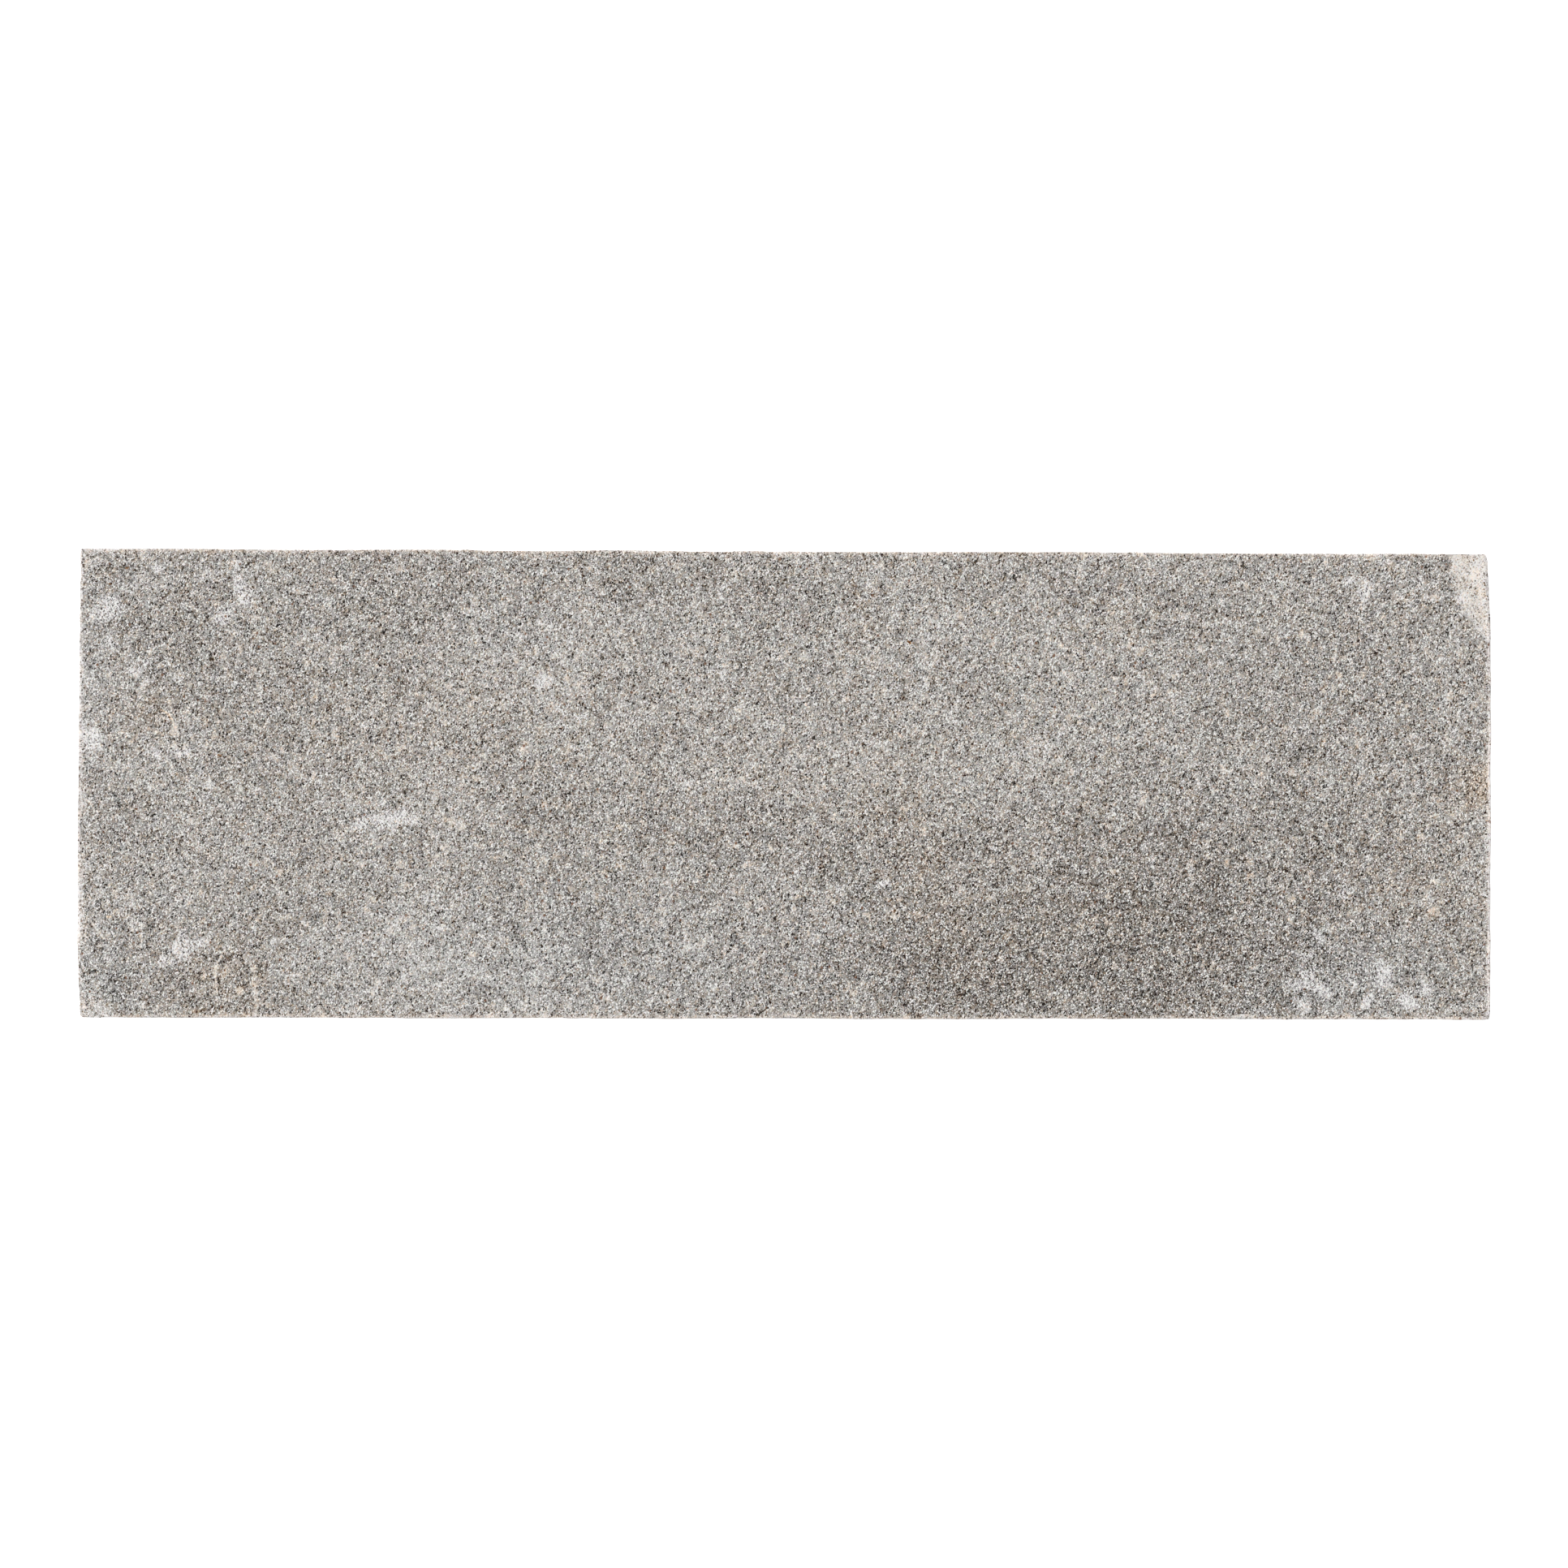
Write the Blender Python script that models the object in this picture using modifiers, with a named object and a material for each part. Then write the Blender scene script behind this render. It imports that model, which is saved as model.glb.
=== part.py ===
"""A natural sharpening whetstone: one slab of grey sandstone, split on its honing face and sawn to size.

The slab lies on its underside with its length along X and its honing face up. The origin is the centre of
its footprint, on the surface that it rests on. Everything is in metres.
"""

from math import radians, sqrt

import bmesh
import bpy
from mathutils import Vector

# Driving dimensions of the slab
LENGTH = 0.150
WIDTH = 0.050
THICKNESS = 0.020
ARRIS_RADIUS = 0.0005
ARRIS_SEGMENTS = 3

# The sawn outline is a little out of square: how far each corner lies inside the nominal rectangle, in X and Y
REAR_LEFT_INSET = Vector((0.00045, 0.0))
FRONT_LEFT_INSET = Vector((0.0003, 0.0002))
FRONT_RIGHT_INSET = Vector((0.00015, 0.0))
REAR_RIGHT_INSET = Vector((0.0004, 0.0006))

# Both ends bow out to the full length, at these places across the width
LEFT_BOW_Y = -0.017
RIGHT_BOW_Y = 0.012

# Corner chips: how far each reaches along the long side, along the end and down the corner, and its hollow's radius
REAR_RIGHT_CHIP = {"along_side": 0.0044, "along_end": 0.0098, "down": 0.0022, "radius": 0.030}
FRONT_LEFT_CHIP = {"along_side": 0.0034, "along_end": 0.0046, "down": 0.0013, "radius": 0.014}

# Small spalls along the honing face's edges: place along the edge, hollow's radius, and depth of the bite
FRONT_SPALLS = ((-0.0136, 0.0018, 0.0004), (0.0004, 0.0028, 0.0005), (0.0486, 0.0040, 0.0005))
LEFT_SPALLS = ((-0.0021, 0.0020, 0.0005), (0.0150, 0.0034, 0.0004))

# Finish
STONE_COLOUR = (0.40, 0.38, 0.35, 1.0)
STONE_ROUGHNESS = 0.85

SMALLEST_REAL_ANGLE = radians(0.5)
ARRIS_ANGLE = radians(45)
WELD_DISTANCE = 0.00001
CUTTER_SUBDIVISIONS = 6
SPALL_SUBDIVISIONS = 4
UP = Vector((0, 0, 1))


def clear_scene():
    for old in list(bpy.data.objects):
        bpy.data.objects.remove(old, do_unlink=True)


def new_collection(name):
    collection = bpy.data.collections.new(name)
    bpy.context.scene.collection.children.link(collection)
    return collection


def stone_material():
    material = bpy.data.materials.new("grey_sandstone")
    material.use_nodes = True
    shader = material.node_tree.nodes["Principled BSDF"]
    shader.inputs["Base Color"].default_value = STONE_COLOUR
    shader.inputs["Roughness"].default_value = STONE_ROUGHNESS
    shader.inputs["Metallic"].default_value = 0.0
    return material


def outline_corners():
    """The four corners of the sawn outline, by name."""
    right = LENGTH / 2
    rear = WIDTH / 2
    return {
        "rear_left": Vector((-right + REAR_LEFT_INSET.x, rear - REAR_LEFT_INSET.y)),
        "front_left": Vector((-right + FRONT_LEFT_INSET.x, -rear + FRONT_LEFT_INSET.y)),
        "front_right": Vector((right - FRONT_RIGHT_INSET.x, -rear + FRONT_RIGHT_INSET.y)),
        "rear_right": Vector((right - REAR_RIGHT_INSET.x, rear - REAR_RIGHT_INSET.y)),
    }


def sawn_blank(corners, collection):
    """The slab as the saw leaves it: the outline extruded to the full thickness."""
    left_bow = Vector((-LENGTH / 2, LEFT_BOW_Y))
    right_bow = Vector((LENGTH / 2, RIGHT_BOW_Y))
    outline = [
        corners["rear_left"],
        left_bow,
        corners["front_left"],
        corners["front_right"],
        right_bow,
        corners["rear_right"],
    ]
    curve = bpy.data.curves.new("outline", "CURVE")
    curve.dimensions = "2D"
    curve.fill_mode = "BOTH"
    curve.extrude = THICKNESS / 2
    spline = curve.splines.new("POLY")
    spline.points.add(len(outline) - 1)
    for point, place in zip(spline.points, outline):
        point.co = (place.x, place.y, 0, 1)
    spline.use_cyclic_u = True

    guide = bpy.data.objects.new("outline", curve)
    guide.location.z = THICKNESS / 2
    collection.objects.link(guide)
    bpy.context.view_layer.update()
    evaluated = guide.evaluated_get(bpy.context.evaluated_depsgraph_get())
    mesh = bpy.data.meshes.new_from_object(evaluated)
    mesh.name = "stone"
    stone = bpy.data.objects.new("stone", mesh)
    stone.matrix_world = guide.matrix_world
    collection.objects.link(stone)
    bpy.data.objects.remove(guide)

    work = bmesh.new()
    work.from_mesh(mesh)
    bmesh.ops.remove_doubles(work, verts=work.verts, dist=WELD_DISTANCE)
    bmesh.ops.dissolve_limit(work, angle_limit=SMALLEST_REAL_ANGLE, verts=work.verts, edges=work.edges)
    bmesh.ops.recalc_face_normals(work, faces=work.faces)
    work.to_mesh(mesh)
    work.free()
    return stone


def wear_arrises(stone):
    """Round every sawn edge and corner a little."""
    bevel = stone.modifiers.new("worn_arrises", "BEVEL")
    bevel.width = ARRIS_RADIUS
    bevel.segments = ARRIS_SEGMENTS
    bevel.limit_method = "ANGLE"
    bevel.angle_limit = ARRIS_ANGLE


def ball_cutter(name, centre, radius, subdivisions, collection):
    mesh = bpy.data.meshes.new(name)
    work = bmesh.new()
    bmesh.ops.create_icosphere(work, subdivisions=subdivisions, radius=radius)
    work.to_mesh(mesh)
    work.free()
    cutter = bpy.data.objects.new(name, mesh)
    cutter.location = centre
    cutter.hide_render = True
    cutter.display_type = "WIRE"
    collection.objects.link(cutter)
    return cutter


def ball_through(rim, radius, outward):
    """The centre, on the outward side, of the ball of this radius that passes through three rim points."""
    first, second, third = rim
    a = second - first
    b = third - first
    normal = a.cross(b)
    square = normal.length_squared
    to_middle = (normal.cross(a) * b.length_squared + b.cross(normal) * a.length_squared) / (2 * square)
    height = sqrt(radius**2 - to_middle.length_squared)
    normal.normalize()
    if normal.dot(outward) < 0:
        normal.negate()
    return first + to_middle + normal * height


def corner_chip(name, corner, chip, collection):
    """A shallow shell-shaped flake, broken off a corner of the honing face."""
    inward_x = -1 if corner.x > 0 else 1
    inward_y = -1 if corner.y > 0 else 1
    top = Vector((corner.x, corner.y, THICKNESS))
    rim = (
        top + Vector((inward_x * chip["along_side"], 0, 0)),
        top + Vector((0, inward_y * chip["along_end"], 0)),
        top - UP * chip["down"],
    )
    outward = Vector((-inward_x, -inward_y, 1))
    centre = ball_through(rim, chip["radius"], outward)
    return ball_cutter(name, centre, chip["radius"], CUTTER_SUBDIVISIONS, collection)


def edge_spall(name, place, outward, radius, bite, collection):
    """A small round bite out of the honing face's edge at a place on it."""
    direction = (outward + UP).normalized()
    centre = place + direction * (radius - bite)
    return ball_cutter(name, centre, radius, SPALL_SUBDIVISIONS, collection)


def edge_place(start, end, share):
    """The point at a share of the way along an edge of the honing face."""
    flat = start.lerp(end, share)
    return Vector((flat.x, flat.y, THICKNESS))


def break_edges(stone, corners, cutters):
    """Cut the chips and spalls out of the honing face's edges."""
    balls = [
        corner_chip("rear_right_chip", corners["rear_right"], REAR_RIGHT_CHIP, cutters),
        corner_chip("front_left_chip", corners["front_left"], FRONT_LEFT_CHIP, cutters),
    ]
    front = (corners["front_left"], corners["front_right"])
    for number, (x, radius, bite) in enumerate(FRONT_SPALLS, 1):
        place = edge_place(*front, (x - front[0].x) / (front[1].x - front[0].x))
        outward = Vector((0, -1, 0))
        balls.append(edge_spall(f"front_spall_{number}", place, outward, radius, bite, cutters))
    left = (Vector((-LENGTH / 2, LEFT_BOW_Y)), corners["rear_left"])
    for number, (y, radius, bite) in enumerate(LEFT_SPALLS, 1):
        place = edge_place(*left, (y - left[0].y) / (left[1].y - left[0].y))
        outward = Vector((-1, 0, 0))
        balls.append(edge_spall(f"left_spall_{number}", place, outward, radius, bite, cutters))
    for ball in balls:
        cut = stone.modifiers.new(ball.name, "BOOLEAN")
        cut.operation = "DIFFERENCE"
        cut.object = ball


def main():
    clear_scene()
    parts = new_collection("whetstone")
    cutters = new_collection("cutters")
    corners = outline_corners()
    stone = sawn_blank(corners, parts)
    stone.data.materials.append(stone_material())
    wear_arrises(stone)
    break_edges(stone, corners, cutters)


main()
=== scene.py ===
"""Looks of a natural sharpening whetstone: a slab of grey sandstone, split on top and sawn elsewhere.

The slab's skin is a fine grid that is fitted to the CAD solid's outline and chips, then roughened like split
and sawn stone. Its material is procedural, in millimetres of the stone itself. The camera looks straight down
on the honing face, with +X to the right of its picture and +Y up in it.
"""

from math import cos, pi, radians, sin

import bpy
import numpy as np
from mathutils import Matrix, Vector
from mathutils.bvhtree import BVHTree


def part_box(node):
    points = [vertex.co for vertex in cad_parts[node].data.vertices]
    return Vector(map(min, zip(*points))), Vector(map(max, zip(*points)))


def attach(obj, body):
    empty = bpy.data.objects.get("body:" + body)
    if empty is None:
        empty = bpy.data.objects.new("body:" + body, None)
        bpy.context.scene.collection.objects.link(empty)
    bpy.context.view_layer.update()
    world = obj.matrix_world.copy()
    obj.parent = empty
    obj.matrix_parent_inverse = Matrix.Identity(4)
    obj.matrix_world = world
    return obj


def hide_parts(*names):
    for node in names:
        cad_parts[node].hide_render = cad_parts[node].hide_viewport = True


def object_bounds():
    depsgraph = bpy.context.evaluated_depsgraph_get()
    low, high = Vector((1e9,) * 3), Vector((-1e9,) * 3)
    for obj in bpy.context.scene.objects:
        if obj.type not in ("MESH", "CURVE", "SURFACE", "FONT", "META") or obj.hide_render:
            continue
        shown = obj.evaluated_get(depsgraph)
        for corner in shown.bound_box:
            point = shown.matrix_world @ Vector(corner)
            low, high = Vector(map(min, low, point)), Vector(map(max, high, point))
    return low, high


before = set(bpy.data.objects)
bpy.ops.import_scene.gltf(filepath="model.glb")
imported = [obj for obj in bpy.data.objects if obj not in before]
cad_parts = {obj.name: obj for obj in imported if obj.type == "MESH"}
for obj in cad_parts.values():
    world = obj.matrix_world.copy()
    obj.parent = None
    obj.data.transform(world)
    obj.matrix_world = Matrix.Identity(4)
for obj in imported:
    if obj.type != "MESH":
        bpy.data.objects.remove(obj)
cad_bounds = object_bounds()

MM = 0.001
STONE = "stone"

# Grid of the stone's skin, in mm: its steps on the honing face and down the sides, and its rows at each arris
FACE_STEP = 0.5
SIDE_STEP = 0.75
ARRIS_ROWS = (0.0, 0.16, 0.32, 0.50, 0.74)

# Each side of the CAD solid is measured at this many places, from this far inside its ends, in mm
OUTLINE_PLACES = 81
OUTLINE_INSET = 1.5
# Depth under the honing face that the chips stay within, and width of the unchipped corners, in mm
CHIP_REACH = 5.0
SHARP_CORNER = 2.5
# Points less than LOOSE_FIT outside the CAD solid stay put, and those beyond TIGHT_FIT are moved on to it.
# Where they were more than CHIPPED outside, the stone is broken. All in mm
LOOSE_FIT = 0.10
TIGHT_FIT = 0.25
CHIPPED = 0.18

# Radius of the worn arrises and of the rear right corner in mm, and how much of it the other upright corners
# and the right end are spared
ARRIS_WEAR = 0.42
ARRIS_WEAR_CHANGE = 0.20
LEAST_WEAR = 0.10
MOST_WEAR = 0.90
SPARED_AT_CORNERS = 0.70
SPARED_AT_RIGHT_END = 0.55
REAR_RIGHT_WEAR = 0.62

# Layers of relief: height and size of the bumps, in mm
UNDULATION = (0.10, 41)
SWELL = (0.05, 16)
TERRACE = (0.055, 11)
FLAKE = (0.040, 4.5)
SPLIT_GRAIN = (0.030, 1.7)
SAWN_WAVE = (0.05, 9)
SAWN_GRAIN = (0.022, 1.4)
BREAK_RELIEF = (0.10, 2.4)
LOST_CRUMBS = (0.11, 1.25)
# Share of the larger crumbs' depth, and size in mm
SMALL_LOST_CRUMBS = (0.6, 0.8)

# How far the split face lies under the CAD solid, and how far the ends stand out from it: along their whole
# width, and more beside the large chip, in mm
RELIEF_DEPTH = 0.16
END_FULLNESS = 0.06
CHIP_FULLNESS = 0.18

# Light wrapping round the arrises from the white surround is painted on them as a pale, warm glow.
# The painted glow along the arrises: its width and height in mm, and its strength on the sides, ends and
# below
RIM_GLOW_WIDTH = 0.30
RIM_GLOW_HEIGHT = 1.5
RIM_GLOW_SHARE = 0.5
RIM_GLOW_SHARE_AT_ENDS = 1.0
RIM_GLOW_SHARE_BELOW = 0.35

# How pale a fresh break is at the large rear right chip, and at the other breaks
LARGE_CHIP_PALENESS = 1.0
SMALL_CHIP_PALENESS = 0.38

# Sizes of the sandstone's pattern, in mm
FINE_GRAIN = 0.093
COARSE_GRAIN = 0.140
SPECK = 0.210
FLECK = 0.16
CLUMP = 1.1
CRUMB = 1.15
RUST = 0.75
HUE_PATCH = 1.1
MOTTLE = 5.5
CLOUD = 24.0

# Share of the stone's grains that are dark, and pale. The pale ones stand for white quartz and for the
# painted glints on it
DARK_SHARE = 0.10
PALE_SHARE = 0.13

# How the grain leans (degrees from X) and how much it is stretched that way, and the same for scuff strokes
GRAIN_LEAN = 67.0
GRAIN_STRETCH = 1.16
STROKE_TURN = 50.0
STROKE_STRETCH = 1.9

# The saw that cut the sides: its hub's place, and the distance between the arcs that it left, in mm
SAW_HUB = (40.0, 20.0, 150.0)
SAW_PITCH = 2.3

# Mean brightness as the eye sees it, from 0 black to 1 white
SPLIT_TONE = 0.636
# The sawn sides are painted darker than the split face, as the shade that falls on them
SHADED_SAWN_TONE = 0.605
CRUMB_TONE = 0.825
BREAK_TONE = 0.91
# How pale the painted glow along the arrises is
RIM_GLOW_TONE = 0.92
FLECK_TONE = 0.97
LINE_TONE = 0.88
DARKEST = 0.06
PALEST = 0.97
# The tones about which contrast is changed, by turning pale and elsewhere
PALING_CENTRE = 0.64
TONE_CENTRE = 0.62

# How far each layer of the pattern moves the tone, as a share of full brightness
FINE_CONTRAST = 0.67
COARSE_DARKENING = 0.89
COARSE_PALING = 0.47
SPECK_DARKENING = 0.31
SPECK_PALING = 0.15
CLUMP_CONTRAST = 0.21
PIT_DARKENING = 0.105
MOTTLE_CONTRAST = 0.20
CLOUD_CONTRAST = 0.06
SAW_ARC_CONTRAST = 0.035
SCUFF_PALING = 0.06
SCUFF_CORE_PALING = 0.05
BREAK_EDGE_PALING = 0.04

# Warmth is half the difference between red and blue, as a share of full brightness
MEAN_WARMTH = 0.0140
LEAST_WARMTH = 0.003
FINE_WARMTH = 0.028
TAN_GRAIN_WARMTH = 0.030
TAN_SPECK_WARMTH = 0.026
BROWN_GRAIN_WARMTH = 0.065
HUE_CHANGE = 0.090
CRUMB_WARMTH = 0.018
BREAK_WARMTH = 0.013
SCUFF_WARMTH = -0.010
# Warmth of the painted glow along the arrises, with more of it along the long sides
RIM_GLOW_WARMTH = 0.010
RIM_GLOW_EXTRA_WARMTH = 0.022
RUST_COLOUR = (0.46, 0.31, 0.23, 1)
GAMMA = 2.2

# The bump of single grains: its height in mm, and the share of it that sawn faces keep
GRIT_HEIGHT = 0.10
SAWN_GRIT = 0.35

# Light: a soft sun with its angle in degrees, and a white world as the stone and as the camera see it
KEY_STRENGTH = 1.83
KEY_SOFTNESS = 22
KEY_COLOUR = (1.0, 0.985, 0.965)
KEY_FROM = (-0.55, 0.40, 1.05)
WORLD_STRENGTH = 0.52
WORLD_SEEN = 1.2

# Floor: its size and its gap under the stone in m, its colour and how much it glows
FLOOR_SIZE = 40.0
FLOOR_GAP = 0.00002
FLOOR_COLOUR = (0.90, 0.90, 0.90, 1)
FLOOR_GLOW = 0.70

# Camera, in mm: its lens and sensor, and how wide the picture is at a level just under the highest point
LENS = 200.0
SENSOR = 36.0
PICTURE_WIDTH = 166.4
PICTURE_LEVEL = 0.5


# ---------------------------------------------------------------- noise

class Noise:
    """Smooth, repeatable noise between about -1 and 1 at points in space, for one seed."""

    CORNERS = [(i, j, k) for i in (0, 1) for j in (0, 1) for k in (0, 1)]
    VALUES = 256
    LAYER_SHIFT = 17.3

    def __init__(self, seed):
        draw = np.random.default_rng(seed)
        self.order = np.tile(draw.permutation(self.VALUES), 2)
        self.value = draw.uniform(-1.0, 1.0, self.VALUES)

    def at(self, points, size):
        """The noise at points, with bumps of about this size."""
        place = points / size
        cell = np.floor(place).astype(int)
        part = place - cell
        ease = part**3 * (part * (part * 6 - 15) + 10)
        cell &= self.VALUES - 1
        total = np.zeros(len(points))
        for corner in self.CORNERS:
            x, y, z = ((cell + corner) & (self.VALUES - 1)).T
            value = self.value[self.order[self.order[self.order[x] + y] + z]]
            total += value * np.prod(np.where(corner, ease, 1 - ease), axis=1)
        return total

    def rough(self, points, size, layers, fade=0.5):
        """Several layers of the noise, each half the size of the last."""
        total = np.zeros(len(points))
        for layer in range(layers):
            total += fade**layer * self.at(points + self.LAYER_SHIFT * layer, size / 2**layer)
        return total


def smooth(value, low, high):
    """0 below low, 1 above high, and an S-curve between them."""
    share = np.clip((value - low) / (high - low), 0, 1)
    return share * share * (3 - 2 * share)


# ---------------------------------------------------------------- the skin's shape

def face_rows(length, step):
    """Places of the grid's rows across a face, from 0 to length: close at both arrises, even between them."""
    near = np.array(ARRIS_ROWS)
    last = near[-1] + step / 2
    count = round((length - 2 * last) / step)
    middle = np.linspace(last, length - last, count + 1)
    return np.concatenate([near, middle, length - near[::-1]])


def box_skin(xs, ys, zs):
    """Points and outward quads of the surface of a box that is divided at these places."""
    skin = np.zeros((len(xs), len(ys), len(zs)), bool)
    skin[[0, -1], :, :] = True
    skin[:, [0, -1], :] = True
    skin[:, :, [0, -1]] = True
    number = np.full(skin.shape, -1)
    number[skin] = np.arange(skin.sum())
    points = np.stack(np.meshgrid(xs, ys, zs, indexing="ij"), -1)[skin]
    quads = []
    for axis in range(3):
        for end in (0, -1):
            sheet = np.take(number, end, axis)
            around = (sheet[:-1, :-1], sheet[1:, :-1], sheet[1:, 1:], sheet[:-1, 1:])
            quad = np.stack(around, -1).reshape(-1, 4)
            inward = (end == 0) != (axis == 1)
            quads.append(quad[:, ::-1] if inward else quad)
    return points, np.concatenate(quads)


def from_edges(box, size):
    """How far each point on the box's skin is from the nearest edge of its face, in mm."""
    return np.sort(np.minimum(box, size - box), axis=1)[:, 1]


def near_right_end(box, size):
    """1 at the right end, and 0 from 3 mm inside it."""
    return smooth(box[:, 0], size[0] - 3, size[0] - 1.5)


def arris_wear(box, size):
    """The radius of the worn arris near each point of the box, in mm."""
    wear = ARRIS_WEAR + ARRIS_WEAR_CHANGE * Noise(1).rough(box, 5.0, 3)
    from_sides = np.sort(np.minimum(box, size - box)[:, :2], axis=1)
    at_corners = 1 - smooth(from_sides[:, 1], 0.8, 2.5)
    wear = wear * (1 - SPARED_AT_CORNERS * at_corners) * (1 - SPARED_AT_RIGHT_END * near_right_end(box, size))
    at_rear_right = at_corners * (box[:, :2] > size[:2] / 2).all(axis=1)
    wear = wear * (1 - at_rear_right) + REAR_RIGHT_WEAR * at_rear_right
    return np.clip(wear, LEAST_WEAR, MOST_WEAR)


def round_arrises(points, size, wear):
    """Pull points near the box's edges in to a rounding whose radius changes from place to place."""
    radius = wear[:, None]
    core = np.clip(points, radius, size - radius)
    out = points - core
    length = np.linalg.norm(out, axis=1, keepdims=True)
    return core + out / np.maximum(length, 1e-9) * np.where(length > 0, radius, 0)


def cad_tree():
    """The CAD solid as a search tree, in mm."""
    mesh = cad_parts[STONE].data
    corners = [Vector(vertex.co) / MM for vertex in mesh.vertices]
    return BVHTree.FromPolygons(corners, [tuple(face.vertices) for face in mesh.polygons])


def sawn_side(tree, places, axis, sign, size):
    """How far out the CAD solid reaches on one side, at places along it, at half its height."""
    reach = []
    far = 2 * size.max()
    for place in places:
        start = Vector((0, 0, size[2] / 2))
        start[axis] = sign * far
        start[1 - axis] = place
        heading = Vector((0, 0, 0))
        heading[axis] = -sign
        reach.append(tree.ray_cast(start, heading)[0][axis])
    return np.array(reach)


def fit_outline(points, tree, size):
    """Skew the box's points, which are centred on X and Y, to the CAD solid's slightly crooked outline."""
    fitted = points.copy()
    for axis in (0, 1):
        half = size[1 - axis] / 2 - OUTLINE_INSET
        places = np.linspace(-half, half, OUTLINE_PLACES)
        along = np.clip(points[:, 1 - axis], -half, half)
        low = np.interp(along, places, sawn_side(tree, places, axis, -1, size))
        high = np.interp(along, places, sawn_side(tree, places, axis, 1, size))
        share = points[:, axis] / size[axis] + 0.5
        fitted[:, axis] = low + share * (high - low)
    return fitted


def fit_chips(points, tree, size):
    """Move points that stand well outside the CAD solid on to it, except at the two unchipped corners.

    Returns the points and how far outside each was."""
    outside = np.zeros(len(points))
    near_top = points[:, 2] > size[2] - CHIP_REACH
    in_corner = (np.abs(points[:, :2]) > size[:2] / 2 - SHARP_CORNER).all(axis=1)
    unchipped = in_corner & (points[:, 0] * points[:, 1] < 0)
    for index in np.flatnonzero(near_top & ~unchipped):
        place = Vector(points[index])
        spot, normal, _, distance = tree.find_nearest(place)
        if (place - spot).dot(normal) > 0:
            points[index] = spot.lerp(place, 1 - smooth(distance, LOOSE_FIT, TIGHT_FIT))
            outside[index] = distance
    return points, outside


def vertex_normals(points, quads):
    corner = points[quads]
    across = np.cross(corner[:, 2] - corner[:, 0], corner[:, 3] - corner[:, 1])
    normals = np.zeros_like(points)
    for column in range(4):
        np.add.at(normals, quads[:, column], across)
    return normals / np.maximum(np.linalg.norm(normals, axis=1, keepdims=True), 1e-12)


def terraces(value, height, ramp=0.2):
    """Turn a smooth slope into flat treads with short steep risers, like the layers of split stone."""
    tread = np.floor(value)
    return height * (tread + smooth(value - tread, 1 - ramp, 1.0))


def relief(seed, points, bumps, layers, fade=0.5):
    """Rough relief in mm, with bumps of this height and size."""
    height, size = bumps
    return height * Noise(seed).rough(points, size, layers, fade)


def split_relief(points):
    """Height of the split face above its mean, in mm: flakier towards the ends."""
    flat = points * (1, 1, 0.2)
    ends = smooth(np.abs(points[:, 0]), 38, 66)
    flaky = 0.45 + 0.9 * ends + 0.35 * Noise(20).at(flat, 17)
    height = relief(21, flat, UNDULATION, 1) + relief(22, flat, SWELL, 2)
    tread_height, tread_size = TERRACE
    height += flaky * terraces(1.9 * Noise(23).rough(flat, tread_size, 3), tread_height)
    height += flaky * relief(24, flat, FLAKE, 2)
    height += relief(25, flat, SPLIT_GRAIN, 2, 0.7)
    return height


def sawn_relief(points):
    """Height of a sawn face above its mean, in mm."""
    return relief(31, points, SAWN_WAVE, 2) + relief(32, points, SAWN_GRAIN, 2, 0.7)


def lost_crumbs(points):
    """How deep crumbs are lost from a worn arris, in mm."""
    depth, size = LOST_CRUMBS
    small_share, small_size = SMALL_LOST_CRUMBS
    crumbs = smooth(Noise(42).at(points, size), 0.25, 0.85)
    crumbs += small_share * smooth(Noise(43).at(points, small_size), 0.3, 0.8)
    return depth * crumbs


def roughen(points, normals, arris, chipped):
    """Move the fitted points along their normals, in to the relief of split and sawn stone."""
    up = smooth(normals[:, 2], 0.55, 0.9)
    under = smooth(-normals[:, 2], 0.55, 0.9)
    side = 1 - up - under
    end = smooth(np.abs(normals[:, 0]), 0.3, 0.8)
    by_chip = smooth(points[:, 0], 70.0, 73.0) * smooth(points[:, 1], 12.0, 18.0)
    broken = smooth(chipped, 0.02, 0.25)
    height = up * (1 - broken) * (split_relief(points) - RELIEF_DEPTH)
    height += side * (sawn_relief(points) + end * (END_FULLNESS + CHIP_FULLNESS * by_chip))
    height += broken * relief(41, points * (1.0, 0.55, 1.0), BREAK_RELIEF, 3, 0.6)
    height -= arris * (1 - under) * lost_crumbs(points)
    roughened = points + normals * height[:, None]
    roughened[:, 2] = np.maximum(roughened[:, 2], 0.0)
    return roughened


# ---------------------------------------------------------------- marks on the honing face

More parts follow.
